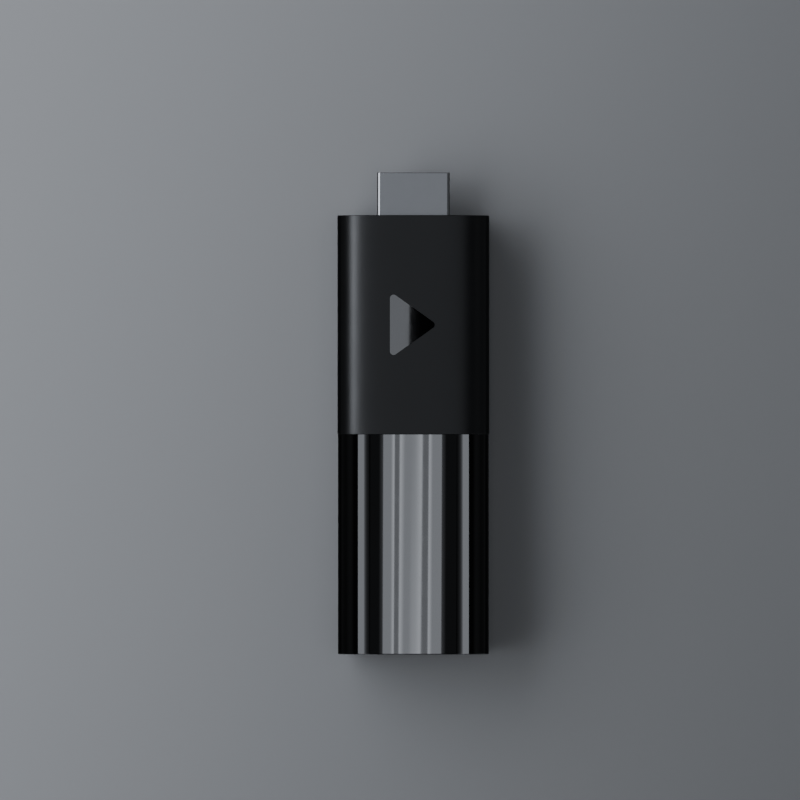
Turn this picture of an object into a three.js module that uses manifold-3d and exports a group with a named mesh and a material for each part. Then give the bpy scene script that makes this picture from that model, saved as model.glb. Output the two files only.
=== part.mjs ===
// A streaming media player: a stick with an HDMI plug on its front end, a matte front casing, a glossy rear
// casing that snaps onto it, and a circuit board inside with its chips, shields, spreaders and aerials.
// Millimetres, +Z up, +Y towards the plug's tip. The origin is under the middle of the stick, on the surface
// that the stick rests on.
import * as THREE from 'three';
import { mergeVertices } from 'three/addons/utils/BufferGeometryUtils.js';
import Module from 'manifold-3d';

const wasm = await Module();
wasm.setup();

// ---------------------------------------------------------------- driving dimensions

// The whole stick.
const LENGTH = 92.4;
const WIDTH = 29.1;
const HEIGHT = 15.2;
const PLUG_REACH = 8.3;
const SEAM_Y = -4.0;
const TIP_Y = LENGTH / 2;
const REAR_Y = -LENGTH / 2;
const FRONT_Y = TIP_Y - PLUG_REACH;
const MID_Z = HEIGHT / 2;

// How far a cutter runs past the face that it goes through.
const OVERCUT = 1.0;

// The casing's section: flat bands on the sides and the base, joined by superellipse arcs.
const SIDE_LAND = 5.0;
const BASE_LAND = 14.0;
const CROWN_POWER = 2.7;
const BASE_POWER = 2.2;
const CROWN_STEPS = 12;
const BASE_STEPS = 7;

// The casing's walls and the overlapping lip that joins its two halves.
const WALL = 1.4;
const END_WALL = 1.6;
const END_EDGE = 0.15;
const REAR_INSET = 0.1;
const SEAM_GAP = 0.04;
const LIP_LENGTH = 4.0;
const LIP_INSET = 0.85;
const REBATE_INSET = 0.75;
const REBATE_EXTRA = 0.2;
const SNAP_HEIGHT = 0.25;
const SNAP_LENGTH = 0.8;
const SNAP_ROOT = 0.2;
const SNAP_SET_BACK = 2.4;
const SNAP_CLEARANCE = 0.1;
const SIDE_SNAP_SPAN = 3.0;
const FACE_SNAP_SPAN = 4.0;

// The rails inside both casings that hold the board's long edges.
const RAIL_REACH = 11.6;
const RAIL_ROOT = 13.7;
const RAIL_THICKNESS = 1.0;
const RAIL_CLEARANCE = 0.1;
const FRONT_RAILS = [-3.0, 24.0];
const REAR_RAILS_LEFT = [-42.0, -9.0];
const REAR_RAILS_RIGHT = [-25.0, -9.0];

// The circuit board.
const BOARD_WIDTH = 24.4;
const BOARD_FRONT_Y = 29.2;
const BOARD_REAR_Y = -43.4;
const BOARD_THICKNESS = 1.0;
const BOARD_CORNER = 1.2;
const BOARD_TOP = MID_Z + BOARD_THICKNESS / 2;
const BOARD_BASE = MID_Z - BOARD_THICKNESS / 2;

// The HDMI plug, type A.
const HDMI_WIDTH = 13.9;
const HDMI_HEIGHT = 4.45;
const HDMI_SIDE_HEIGHT = 2.6;
const HDMI_BEVEL_WIDTH = 1.5;
const HDMI_CORNER = 0.45;
const HDMI_WALL = 0.3;
const HDMI_BACK_Y = 29.6;
const HDMI_TAB_BACK_Y = 25.6;
const HDMI_TAB_HEIGHT = 0.9;
const HDMI_TAB_ROOT = 1.0;
const HDMI_OPENING_CLEARANCE = 0.12;
const HDMI_CONTACTS = 19;
const HDMI_PITCH = 0.5;
const CONTACT_WIDTH = 0.35;
const CONTACT_THICKNESS = 0.2;
const CONTACT_HEIGHT = 1.1;
const CONTACT_TIP_Y = 45.2;
const CONTACT_FOOT_Y = 26.8;
const CONTACT_BEND = 0.8;
const CHANNEL_CLEARANCE = 0.05;
const INSULATOR_GAP = 0.05;
const INSULATOR_SET_BACK = 0.6;
const SLOT_HALF_WIDTH = 5.5;
const SLOT_HALF_HEIGHT = 1.15;
const SLOT_DEPTH = 9.0;

// The ribs behind the front wall that the plug's shell sits between.
const PLUG_RIB_WIDTH = 9.0;
const PLUG_RIB_Y = [31.2, 32.6];
const PLUG_RIB_GAP = 0.1;

// The power inlet, a micro-USB type B receptacle in the +X side, and the status light beside it.
const USB_Y = -36.0;
const USB_MOUTH_X = 14.1;
const USB_BACK_X = 9.2;
const USB_WIDTH = 7.4;
const USB_HEIGHT = 2.35;
const USB_SIDE_HEIGHT = 1.25;
const USB_BEVEL_WIDTH = 1.0;
const USB_CORNER = 0.3;
const USB_WALL = 0.25;
const USB_TAB = [1.5, 2.0, 0.25];
const USB_TAB_X = 11.0;
const USB_OPENING = [8.4, 3.2];
const USB_OPENING_CORNER = 0.9;
const USB_NOTCH_CLEARANCE = 0.2;
const USB_NOTCH_X = 8.5;
const USB_TONGUE_TIP_X = 13.6;
const USB_TONGUE_WIDTH = 3.8;
const USB_TONGUE_THICKNESS = 0.55;
const USB_TONGUE_ROOT = 0.1;
const USB_BASE_DEPTH = 1.2;
const USB_CONTACTS = 5;
const USB_PITCH = 0.65;
const USB_CONTACT_THICKNESS = 0.15;
const USB_CONTACT_TIP_X = 13.3;
const USB_CONTACT_FOOT_X = 7.2;
const USB_CONTACT_BEND = 0.1;
const LIGHT_Y = -28.6;
const LIGHT_RADIUS = 0.6;
const LIGHT_FLANGE_RADIUS = 0.95;
const LIGHT_FLANGE = 0.5;
const LED_SET_BACK = 1.0;
const LIGHT_INNER_X = 12.35;
const LIGHT_CLEARANCE = 0.1;
const LIGHT_Z = BOARD_TOP + 0.4;
const LED_SIZE = [1.2, 1.6, 0.8];

// The generic mark: a plain play triangle, let in flush with the crown of the front casing.
const MARK_Y = 16.9;
const MARK_WIDTH = 9.0;
const MARK_HEIGHT = 11.6;
const MARK_CORNER = 0.7;
const MARK_DEPTH = 0.5;
const MARK_GAP = 0.06;

// Sheet-metal shields over the chips.
const SHIELD_TOP_X = [-10.4, 10.4];
const SHIELD_TOP_Y = [-6.0, 20.0];
const SHIELD_TOP_HEIGHT = 1.7;
const SHIELD_BASE_X = [-8.6, 8.6];
const SHIELD_BASE_Y = [2.0, 20.0];
const SHIELD_BASE_HEIGHT = 2.1;
const SHEET = 0.25;
const LID_GAP = 0.05;
const LID_SKIRT = 1.0;

// Heat spreaders above and below the board, and the two screws that clamp them.
const SPREADER_X = [-10.4, 10.4];
const SPREADER_Y = [-11.0, 25.2];
const SPREADER_THICKNESS = 1.2;
const SPREADER_CORNER = 1.5;
const SPREADER_TOP_Z = 10.9;
const SPREADER_BASE_Z = 3.0;
const SCREW_PLACES = [[8.4, 22.6], [-8.4, -8.4]];
const SCREW_RADIUS = 0.8;
const SCREW_HEAD_RADIUS = 1.5;
const SCREW_HEAD_HEIGHT = 0.75;
const SCREW_TIP_Z = 4.7;
const SCREW_CHAMFER = 0.3;
const SCREW_HEAD_EDGE = 0.25;
const SCREW_HOLE_RADIUS = 1.0;
const SCREW_CROSS = [1.7, 0.35, 0.4];
const POST_RADIUS = 1.8;
const POST_HOLE_FLOOR_Z = 4.3;
const ROUND_STEPS = 20;
const CORNER_STEPS = 3;

// Chips and other board parts: [x, y] of the middle, then [length x, length y, height].
const PROCESSOR = { at: [0, 12.2], size: [12, 12, 1.0] };
const MEMORY = { at: [[-5.1, -0.4], [5.1, -0.4]], size: [8, 10, 0.9] };
const FLASH = { at: [0, 11.0], size: [11.5, 13, 1.0] };
const WIRELESS = { at: [-2.0, -20.5], size: [12, 12, 1.7] };
const POWER_CHIP = { at: [2.4, -34.6], size: [4, 4, 0.9] };
const CRYSTAL = { at: [-9.8, -17.4], size: [2.5, 3.2, 0.8] };
const INDUCTORS = { at: [[-3.2, -36.4], [-8.2, -36.4]], size: [4, 4, 1.8] };
const CAPACITORS = { at: [[3.6, -40.8], [-9.4, -31.0]], size: [3.2, 1.6, 1.6] };

// Thermal pads: [length x, length y].
const PROCESSOR_PAD = [11, 11];
const PAD_ABOVE = [18, 22];
const PAD_BELOW = [15, 16];

// Two stamped inverted-F aerials: [length, width], and [x, y] of each one's lower corner.
const AERIAL_SHEET = 0.3;
const AERIAL_RISE = 2.6;
const AERIAL_LEGS = [0, 2.2];
const AERIAL_SIZE = [9.0, 2.0];
const AERIAL_REAR_AT = [-10.6, -42.6];
const AERIAL_SIDE_AT = [9.0, -24.4];

// ---------------------------------------------------------------- materials

const matteBlack = { color: 0x1d1e21, roughness: 0.45, metalness: 0 };
const glossBlack = { color: 0x050506, roughness: 0.04, metalness: 0 };
const platedSteel = { color: 0x9a9b9d, roughness: 0.28, metalness: 1 };
const goldPlate = { color: 0xd9b35a, roughness: 0.25, metalness: 1 };
const darkInsulator = { color: 0x141414, roughness: 0.5, metalness: 0 };
const boardGreen = { color: 0x0e3a26, roughness: 0.4, metalness: 0 };
const chipBlack = { color: 0x222326, roughness: 0.55, metalness: 0 };
const spreaderAluminium = { color: 0xb4b6b9, roughness: 0.35, metalness: 1 };
const padGrey = { color: 0x8a8f96, roughness: 0.9, metalness: 0 };
const ceramicTan = { color: 0x9b7f5c, roughness: 0.5, metalness: 0 };
const clearPlastic = { color: 0xe4e6e8, roughness: 0.15, metalness: 0 };

// ---------------------------------------------------------------- solids

const stick = new THREE.Group();

// Puts one named piece on the stick, at a place of its own.
function addPiece(name, geometry, finish, x = 0, y = 0, z = 0) {
  const piece = new THREE.Mesh(geometry, new THREE.MeshStandardMaterial(finish));
  piece.name = name;
  piece.position.set(x, y, z);
  stick.add(piece);
}

// A closed triangle mesh as a solid that can be joined and cut.
function toSolid(geometry) {
  const bare = geometry.clone();
  bare.deleteAttribute('normal');
  bare.deleteAttribute('uv');
  const merged = mergeVertices(bare, 1e-5);
  const vertProperties = new Float32Array(merged.getAttribute('position').array);
  const triVerts = new Uint32Array(merged.getIndex().array);
  return new wasm.Manifold(new wasm.Mesh({ numProp: 3, vertProperties, triVerts }));
}

function toGeometry(solid) {
  const mesh = solid.getMesh();
  const geometry = new THREE.BufferGeometry();
  geometry.setAttribute('position', new THREE.BufferAttribute(new Float32Array(mesh.vertProperties), 3));
  geometry.setIndex(new THREE.BufferAttribute(new Uint32Array(mesh.triVerts), 1));
  return geometry;
}

function joined(first, others) {
  return others.reduce((whole, other) => whole.add(other), first);
}

function cutBy(first, others) {
  return others.reduce((whole, other) => whole.subtract(other), first);
}

// A block between two limits along each axis.
function block([x0, x1], [y0, y1], [z0, z1]) {
  const geometry = new THREE.BoxGeometry(x1 - x0, y1 - y0, z1 - z0);
  geometry.translate((x0 + x1) / 2, (y0 + y1) / 2, (z0 + z1) / 2);
  return geometry;
}

// An outline drawn in X and Z, extruded from one Y to a lower one.
function alongY(shape, yFront, yBack) {
  const geometry = new THREE.ExtrudeGeometry(shape, { depth: yFront - yBack, bevelEnabled: false });
  const turn = new THREE.Matrix4().makeBasis(
    new THREE.Vector3(1, 0, 0), new THREE.Vector3(0, 0, 1), new THREE.Vector3(0, -1, 0));
  geometry.applyMatrix4(turn);
  return geometry.translate(0, yFront, 0);
}

// An outline drawn in Y and Z, extruded from one X to a higher one.
function alongX(shape, xLow, xHigh) {
  const geometry = new THREE.ExtrudeGeometry(shape, { depth: xHigh - xLow, bevelEnabled: false });
  const turn = new THREE.Matrix4().makeBasis(
    new THREE.Vector3(0, 1, 0), new THREE.Vector3(0, 0, 1), new THREE.Vector3(1, 0, 0));
  geometry.applyMatrix4(turn);
  return geometry.translate(xLow, 0, 0);
}

// An outline drawn in X and Y, extruded upwards.
function alongZ(shape, zLow, zHigh) {
  const geometry = new THREE.ExtrudeGeometry(shape, { depth: zHigh - zLow, bevelEnabled: false });
  return geometry.translate(0, 0, zLow);
}

// ---------------------------------------------------------------- outlines

// The corners of a convex outline, given anticlockwise, each moved inwards from both of its edges.
function insetCorners(corners, inset) {
  return corners.map((corner, i) => {
    const before = corners[(i + corners.length - 1) % corners.length];
    const after = corners[(i + 1) % corners.length];
    const edgeIn = corner.clone().sub(before).normalize();
    const edgeOut = after.clone().sub(corner).normalize();
    const inwardsIn = new THREE.Vector2(-edgeIn.y, edgeIn.x);
    const inwardsOut = new THREE.Vector2(-edgeOut.y, edgeOut.x);
    const mitre = inwardsIn.clone().add(inwardsOut).divideScalar(1 + inwardsIn.dot(inwardsOut));
    return corner.clone().addScaledVector(mitre, inset);
  });
}

// A closed path round a convex outline, with each corner rounded to the same radius in a few short steps.
function roundedPath(path, corners, radius) {
  corners.forEach((corner, i) => {
    const before = corners[(i + corners.length - 1) % corners.length];
    const after = corners[(i + 1) % corners.length];
    const edgeIn = corner.clone().sub(before).normalize();
    const edgeOut = after.clone().sub(corner).normalize();
    const turn = Math.acos(THREE.MathUtils.clamp(edgeIn.dot(edgeOut), -1, 1));
    const reach = radius * Math.tan(turn / 2);
    const start = corner.clone().addScaledVector(edgeIn, -reach);
    const end = corner.clone().addScaledVector(edgeOut, reach);
    if (i === 0) {
      path.moveTo(start.x, start.y);
    } else {
      path.lineTo(start.x, start.y);
    }
    const arc = new THREE.QuadraticBezierCurve(start, corner, end);
    arc.getPoints(CORNER_STEPS).slice(1).forEach((point) => path.lineTo(point.x, point.y));
  });
  path.closePath();
  return path;
}

// The corners of a plug's outline about its middle: square above, bevelled below.
function plugCorners(width, height, sideHeight, bevelWidth) {
  const halfWidth = width / 2;
  const top = height / 2;
  return [
    new THREE.Vector2(-halfWidth + bevelWidth, -top),
    new THREE.Vector2(halfWidth - bevelWidth, -top),
    new THREE.Vector2(halfWidth, top - sideHeight),
    new THREE.Vector2(halfWidth, top),
    new THREE.Vector2(-halfWidth, top),
    new THREE.Vector2(-halfWidth, top - sideHeight),
  ];
}

function boxCorners([x0, x1], [y0, y1]) {
  return [
    new THREE.Vector2(x0, y0),
    new THREE.Vector2(x1, y0),
    new THREE.Vector2(x1, y1),
    new THREE.Vector2(x0, y1),
  ];
}

// The same corners lifted or moved as one.
function moved(corners, x, y) {
  return corners.map((corner) => new THREE.Vector2(corner.x + x, corner.y + y));
}

function roundHole(shape, x, y, radius) {
  const points = new THREE.EllipseCurve(x, y, radius, radius, 0, 2 * Math.PI).getPoints(ROUND_STEPS).slice(1);
  shape.holes.push(new THREE.Path(points));
}

// ---------------------------------------------------------------- the casing's section

// A superellipse arc from the side land to the crown or the base, with its outward normals.
function sectionArc(centreX, reachX, reachZ, power, steps) {
  return Array.from({ length: steps + 1 }, (_, i) => {
    const angle = (Math.PI / 2) * (i / steps);
    const across = Math.cos(angle) ** (2 / power);
    const up = Math.sin(angle) ** (2 / power);
    const normal = new THREE.Vector2(across ** (power - 1) / reachX, up ** (power - 1) / reachZ).normalize();
    return { x: centreX + reachX * across, z: reachZ * up, normal };
  });
}

const arcHeight = (HEIGHT - SIDE_LAND) / 2;
const crownArc = sectionArc(0, WIDTH / 2, arcHeight, CROWN_POWER, CROWN_STEPS);
const baseArc = sectionArc(BASE_LAND / 2, (WIDTH - BASE_LAND) / 2, arcHeight, BASE_POWER, BASE_STEPS);

// The casing's outline at a Y, moved inwards by an inset: a closed loop, anticlockwise when seen along +Y.
function sectionRing(y, inset) {
  const place = (point, sideways, upwards) => new THREE.Vector3(
    sideways * (point.x - inset * point.normal.x),
    y,
    MID_Z + upwards * (SIDE_LAND / 2 + point.z - inset * point.normal.y),
  );
  return [
    ...crownArc.map((point) => place(point, 1, 1)),
    ...crownArc.slice(0, -1).reverse().map((point) => place(point, -1, 1)),
    ...baseArc.map((point) => place(point, -1, -1)),
    ...baseArc.slice().reverse().map((point) => place(point, 1, -1)),
  ];
}

// The rings that round an end's outer edge, from the end face to the side.
function endEdgeRings(endY, inset, inwards) {
  return [0, Math.PI / 4, Math.PI / 2].map((angle) => sectionRing(
    endY + inwards * END_EDGE * (1 - Math.cos(angle)),
    inset + END_EDGE * (1 - Math.sin(angle)),
  ));
}

// A closed skin over a run of rings: its first end faces -Y and its last faces +Y.
function skinOver(rings) {
  const count = rings[0].length;
  const points = rings.flat();
  const firstMiddle = points.push(new THREE.Vector3(0, rings[0][0].y, MID_Z)) - 1;
  const lastMiddle = points.push(new THREE.Vector3(0, rings.at(-1)[0].y, MID_Z)) - 1;
  const lastStart = (rings.length - 1) * count;
  const index = [];
  for (let j = 0; j < count; j += 1) {
    const next = (j + 1) % count;
    index.push(firstMiddle, j, next);
    index.push(lastMiddle, lastStart + next, lastStart + j);
    for (let i = 0; i < rings.length - 1; i += 1) {
      const near = i * count;
      const far = near + count;
      index.push(near + j, far + next, near + next);
      index.push(near + j, far + j, far + next);
    }
  }
  const geometry = new THREE.BufferGeometry().setFromPoints(points);
  geometry.setIndex(index);
  return geometry;
}

// ---------------------------------------------------------------- casing halves

// The snap catches on the lip, or with a clearance the pockets that they click into: one on each side and one
// each on the crown and the base.
function snapBlocks(clearance) {
  const y = [
    SEAM_Y - SNAP_SET_BACK - SNAP_LENGTH / 2 - clearance,
    SEAM_Y - SNAP_SET_BACK + SNAP_LENGTH / 2 + clearance,
  ];
  const root = LIP_INSET + SNAP_ROOT;
  const crest = LIP_INSET - SNAP_HEIGHT - clearance;
  const side = SIDE_SNAP_SPAN / 2 + clearance;
  const face = FACE_SNAP_SPAN / 2 + clearance;
  return [
    block([WIDTH / 2 - root, WIDTH / 2 - crest], y, [MID_Z - side, MID_Z + side]),
    block([-WIDTH / 2 + crest, -WIDTH / 2 + root], y, [MID_Z - side, MID_Z + side]),
    block([-face, face], y, [HEIGHT - root, HEIGHT - crest]),
    block([-face, face], y, [crest, root]),
  ].map(toSolid);
}

// A pair of rails above and below the board's edge, on the side that the sign names.
function railPair(sideways, y) {
  const x = [RAIL_REACH * sideways, RAIL_ROOT * sideways].sort((a, b) => a - b);
  const upper = BOARD_TOP + RAIL_CLEARANCE;
  const lower = BOARD_BASE - RAIL_CLEARANCE;
  return [
    block(x, y, [upper, upper + RAIL_THICKNESS]),
    block(x, y, [lower - RAIL_THICKNESS, lower]),
  ].map(toSolid);
}

// The two ribs that hold the plug's shell from above and below, rooted in the casing's walls.
function plugRibs() {
  const x = [-PLUG_RIB_WIDTH / 2, PLUG_RIB_WIDTH / 2];
  const reach = HDMI_HEIGHT / 2 + PLUG_RIB_GAP;
  return [
    block(x, PLUG_RIB_Y, [MID_Z + reach, HEIGHT - WALL / 2]),
    block(x, PLUG_RIB_Y, [WALL / 2, MID_Z - reach]),
  ].map(toSolid);
}

// The mark's triangle, pointing to +X, as a prism that goes through the crown only.
function markPrism(grow) {
  const corners = [
    new THREE.Vector2(-MARK_WIDTH / 2, MARK_Y - MARK_HEIGHT / 2),
    new THREE.Vector2(MARK_WIDTH / 2, MARK_Y),
    new THREE.Vector2(-MARK_WIDTH / 2, MARK_Y + MARK_HEIGHT / 2),
  ];
  const shape = roundedPath(new THREE.Shape(), insetCorners(corners, -grow), MARK_CORNER);
  return toSolid(alongZ(shape, MID_Z, HEIGHT + OVERCUT));
}

// The solid bounded by the casing's outline moved inwards by an inset, long enough to pass the mark.
function casingCore(inset) {
  const ends = [MARK_Y - MARK_HEIGHT, MARK_Y + MARK_HEIGHT];
  return toSolid(skinOver(ends.map((y) => sectionRing(y, inset))));
}

function frontCasing() {
  const shell = toSolid(skinOver([
    sectionRing(FRONT_Y - END_WALL, WALL),
    sectionRing(SEAM_Y - LIP_LENGTH, WALL),
    sectionRing(SEAM_Y - LIP_LENGTH, LIP_INSET),
    sectionRing(SEAM_Y, LIP_INSET),
    sectionRing(SEAM_Y, 0),
    ...endEdgeRings(FRONT_Y, 0, -1).reverse(),
  ]));
  const opening = roundedPath(new THREE.Shape(), hdmiCorners(-HDMI_OPENING_CLEARANCE), HDMI_CORNER);
  const plugHole = alongY(opening, FRONT_Y + OVERCUT, FRONT_Y - END_WALL - OVERCUT);
  const recess = markPrism(MARK_GAP).subtract(casingCore(MARK_DEPTH + MARK_GAP));
  const rails = [railPair(1, FRONT_RAILS), railPair(-1, FRONT_RAILS)].flat();
  const whole = joined(shell, [...snapBlocks(0), ...rails, ...plugRibs()]);
  return toGeometry(cutBy(whole, [toSolid(plugHole), recess]));
}

function rearCasing() {
  const mouthY = SEAM_Y - SEAM_GAP;
  const rebateY = SEAM_Y - LIP_LENGTH - REBATE_EXTRA;
  const shell = toSolid(skinOver([
    ...endEdgeRings(REAR_Y, REAR_INSET, 1),
    sectionRing(mouthY, REAR_INSET),
    sectionRing(mouthY, REBATE_INSET),
    sectionRing(rebateY, REBATE_INSET),
    sectionRing(rebateY, WALL + REAR_INSET),
    sectionRing(REAR_Y + END_WALL, WALL + REAR_INSET),
  ]));
  const rails = [railPair(1, REAR_RAILS_RIGHT), railPair(-1, REAR_RAILS_LEFT)].flat();
  const [openingLength, openingHeight] = USB_OPENING;
  const opening = boxCorners(
    [USB_Y - openingLength / 2, USB_Y + openingLength / 2],
    [MID_Z - openingHeight / 2, MID_Z + openingHeight / 2],
  );
  const inletOutline = roundedPath(new THREE.Shape(), opening, USB_OPENING_CORNER);
  const inlet = alongX(inletOutline, WIDTH / 2 - 2 * WALL, WIDTH / 2 + OVERCUT);
  const lightHoleRadius = LIGHT_RADIUS + LIGHT_CLEARANCE;
  const lightHole = new THREE.CylinderGeometry(
    lightHoleRadius, lightHoleRadius, 2 * WALL + OVERCUT, ROUND_STEPS);
  lightHole.rotateZ(Math.PI / 2);
  lightHole.translate(WIDTH / 2 - WALL + OVERCUT / 2, LIGHT_Y, LIGHT_Z);
  const whole = joined(shell, rails);
  return toGeometry(cutBy(whole, [...snapBlocks(SNAP_CLEARANCE), toSolid(inlet), toSolid(lightHole)]));
}

function markInlay() {
  return toGeometry(markPrism(0).intersect(casingCore(0)).subtract(casingCore(MARK_DEPTH)));
}

// ---------------------------------------------------------------- HDMI plug

function hdmiCorners(inset) {
  const corners = plugCorners(HDMI_WIDTH, HDMI_HEIGHT, HDMI_SIDE_HEIGHT, HDMI_BEVEL_WIDTH);
  return moved(insetCorners(corners, inset), 0, MID_Z);
}

// The folded steel shell, with a tab at the back of each side that is soldered to the board.
function hdmiShell() {
  const outline = roundedPath(new THREE.Shape(), hdmiCorners(0), HDMI_CORNER);
  outline.holes.push(roundedPath(new THREE.Path(), hdmiCorners(HDMI_WALL), HDMI_CORNER - HDMI_WALL));
  const tube = toSolid(alongY(outline, TIP_Y, HDMI_BACK_Y));
  const outer = HDMI_WIDTH / 2;
  const inner = outer - HDMI_WALL;
  const tabY = [HDMI_TAB_BACK_Y, HDMI_BACK_Y + HDMI_TAB_ROOT];
  const tabZ = [BOARD_TOP, BOARD_TOP + HDMI_TAB_HEIGHT];
  const tabs = [block([inner, outer], tabY, tabZ), block([-outer, -inner], tabY, tabZ)];
  return toGeometry(joined(tube, tabs.map(toSolid)));
}

// Each contact's number gives its place: odd ones are above the slot, even ones below.
function hdmiContactPlaces() {
  return Array.from({ length: HDMI_CONTACTS }, (_, i) => ({
    number: i + 1,
    x: (i - (HDMI_CONTACTS - 1) / 2) * HDMI_PITCH,
    upwards: i % 2 === 0 ? 1 : -1,
  }));
}

// The moulding that lines the shell: a slot for the mating tongue, and a channel for each contact.
function hdmiInsulator() {
  const outline = roundedPath(
    new THREE.Shape(), hdmiCorners(HDMI_WALL + INSULATOR_GAP), HDMI_CORNER - HDMI_WALL);
  const frontY = TIP_Y - INSULATOR_SET_BACK;
  const body = toSolid(alongY(outline, frontY, HDMI_BACK_Y));
  const slot = block(
    [-SLOT_HALF_WIDTH, SLOT_HALF_WIDTH],
    [frontY - SLOT_DEPTH, frontY + OVERCUT],
    [MID_Z - SLOT_HALF_HEIGHT, MID_Z + SLOT_HALF_HEIGHT],
  );
  const halfWidth = CONTACT_WIDTH / 2 + CHANNEL_CLEARANCE;
  const low = CONTACT_HEIGHT - CHANNEL_CLEARANCE;
  const high = CONTACT_HEIGHT + CONTACT_THICKNESS + CHANNEL_CLEARANCE;
  const channels = hdmiContactPlaces().map(({ x, upwards }) => {
    const z = [MID_Z + upwards * low, MID_Z + upwards * high].sort((a, b) => a - b);
    return toSolid(block([x - halfWidth, x + halfWidth], [HDMI_BACK_Y - OVERCUT, frontY + OVERCUT], z));
  });
  return toGeometry(cutBy(body, [toSolid(slot), ...channels]));
}

// A spring contact from the side: a straight beam in the plug, a bend behind it, and a foot on the board.
function hdmiContact(upwards) {
  const footZ = BOARD_THICKNESS / 2;
  const bendY = BOARD_FRONT_Y - CONTACT_BEND;
  const lower = [
    [CONTACT_FOOT_Y, footZ],
    [bendY, footZ],
    [BOARD_FRONT_Y, CONTACT_HEIGHT],
    [CONTACT_TIP_Y, CONTACT_HEIGHT],
  ];
  const upper = lower.map(([y, z]) => [y, z + CONTACT_THICKNESS]).reverse();
  const points = [...lower, ...upper].map(([y, z]) => new THREE.Vector2(y, upwards * z));
  return alongX(new THREE.Shape(points), -CONTACT_WIDTH / 2, CONTACT_WIDTH / 2);
}

// ---------------------------------------------------------------- micro-USB inlet and status light

function usbCorners(inset) {
  const corners = plugCorners(USB_WIDTH, USB_HEIGHT, USB_SIDE_HEIGHT, USB_BEVEL_WIDTH);
  return moved(insetCorners(corners, inset), USB_Y, MID_Z);
}

// The receptacle's steel shell, let into a notch in the board, with a tab each side that rests on the board.
function usbShell() {
  const outline = roundedPath(new THREE.Shape(), usbCorners(0), USB_CORNER);
  outline.holes.push(roundedPath(new THREE.Path(), usbCorners(USB_WALL), USB_CORNER - USB_WALL / 2));
  const tube = toSolid(alongX(outline, USB_BACK_X, USB_MOUTH_X));
  const [reach, length, thickness] = USB_TAB;
  const x = [USB_TAB_X - length / 2, USB_TAB_X + length / 2];
  const z = [BOARD_TOP, BOARD_TOP + thickness];
  const root = USB_WIDTH / 2 - USB_WALL / 2;
  const tabs = [
    block(x, [USB_Y + root, USB_Y + root + reach], z),
    block(x, [USB_Y - root - reach, USB_Y - root], z),
  ];
  return toGeometry(joined(tube, tabs.map(toSolid)));
}

// Each of the five contacts' places along Y.
function usbContactPlaces() {
  return Array.from({ length: USB_CONTACTS }, (_, i) => USB_Y + (i - (USB_CONTACTS - 1) / 2) * USB_PITCH);
}

// The moulding inside the shell: a base that closes its back, and the tongue that carries the contacts.
function usbTongue() {
  const baseFrontX = USB_BACK_X + USB_BASE_DEPTH;
  const corners = usbCorners(USB_WALL + INSULATOR_GAP);
  const outline = roundedPath(new THREE.Shape(), corners, USB_CORNER - USB_WALL / 2);
  const base = toSolid(alongX(outline, USB_BACK_X, baseFrontX));
  const half = USB_TONGUE_WIDTH / 2;
  const tongue = block(
    [USB_BACK_X + USB_TONGUE_ROOT, USB_TONGUE_TIP_X],
    [USB_Y - half, USB_Y + half],
    [MID_Z, MID_Z + USB_TONGUE_THICKNESS],
  );
  const channelHalf = CONTACT_WIDTH / 2 + CHANNEL_CLEARANCE;
  const z = [MID_Z - USB_CONTACT_THICKNESS - CHANNEL_CLEARANCE, MID_Z];
  const channelX = [USB_BACK_X - OVERCUT, baseFrontX + OVERCUT / 2];
  const channels = usbContactPlaces().map((y) => toSolid(
    block(channelX, [y - channelHalf, y + channelHalf], z)));
  return toGeometry(cutBy(base.add(toSolid(tongue)), channels));
}

// A contact strip from the side: under the tongue, out of the back, and up onto the board.
function usbContact() {
  const footTop = BOARD_THICKNESS / 2 + USB_CONTACT_THICKNESS;
  const drop = CHANNEL_CLEARANCE / 2;
  const upper = [
    [USB_CONTACT_FOOT_X, footTop],
    [USB_NOTCH_X + USB_CONTACT_BEND, footTop],
    [USB_BACK_X - USB_CONTACT_BEND, -drop],
    [USB_CONTACT_TIP_X, -drop],
  ];
  const lower = upper.map(([x, z]) => [x, z - USB_CONTACT_THICKNESS]).reverse();
  const points = [...upper, ...lower].map(([x, z]) => new THREE.Vector2(x, z));
  return alongY(new THREE.Shape(points), CONTACT_WIDTH / 2, -CONTACT_WIDTH / 2);
}

// The status light's clear pipe, turned about X: a pin with a flange that keeps it behind the casing's wall.
function lightPipe() {
  const length = WIDTH / 2 - REAR_INSET - LIGHT_INNER_X;
  const profile = [
    new THREE.Vector2(0, 0),
    new THREE.Vector2(LIGHT_FLANGE_RADIUS, 0),
    new THREE.Vector2(LIGHT_FLANGE_RADIUS, LIGHT_FLANGE),
    new THREE.Vector2(LIGHT_RADIUS, LIGHT_FLANGE),
    new THREE.Vector2(LIGHT_RADIUS, length),
    new THREE.Vector2(0, length),
  ];
  return new THREE.LatheGeometry(profile, ROUND_STEPS).rotateZ(-Math.PI / 2);
}

// ---------------------------------------------------------------- board, shields and cooling

function mainBoard() {
  const half = BOARD_WIDTH / 2;
  const notch = USB_WIDTH / 2 + USB_NOTCH_CLEARANCE;
  const outline = roundedPath(
    new THREE.Shape(), boxCorners([-half, half], [BOARD_REAR_Y, BOARD_FRONT_Y]), BOARD_CORNER);
  SCREW_PLACES.forEach(([x, y]) => roundHole(outline, x, y, SCREW_HOLE_RADIUS));
  const plate = toSolid(alongZ(outline, BOARD_BASE, BOARD_TOP));
  const cut = block(
    [USB_NOTCH_X, half + OVERCUT],
    [USB_Y - notch, USB_Y + notch],
    [BOARD_BASE - OVERCUT, BOARD_TOP + OVERCUT],
  );
  return toGeometry(plate.subtract(toSolid(cut)));
}

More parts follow.
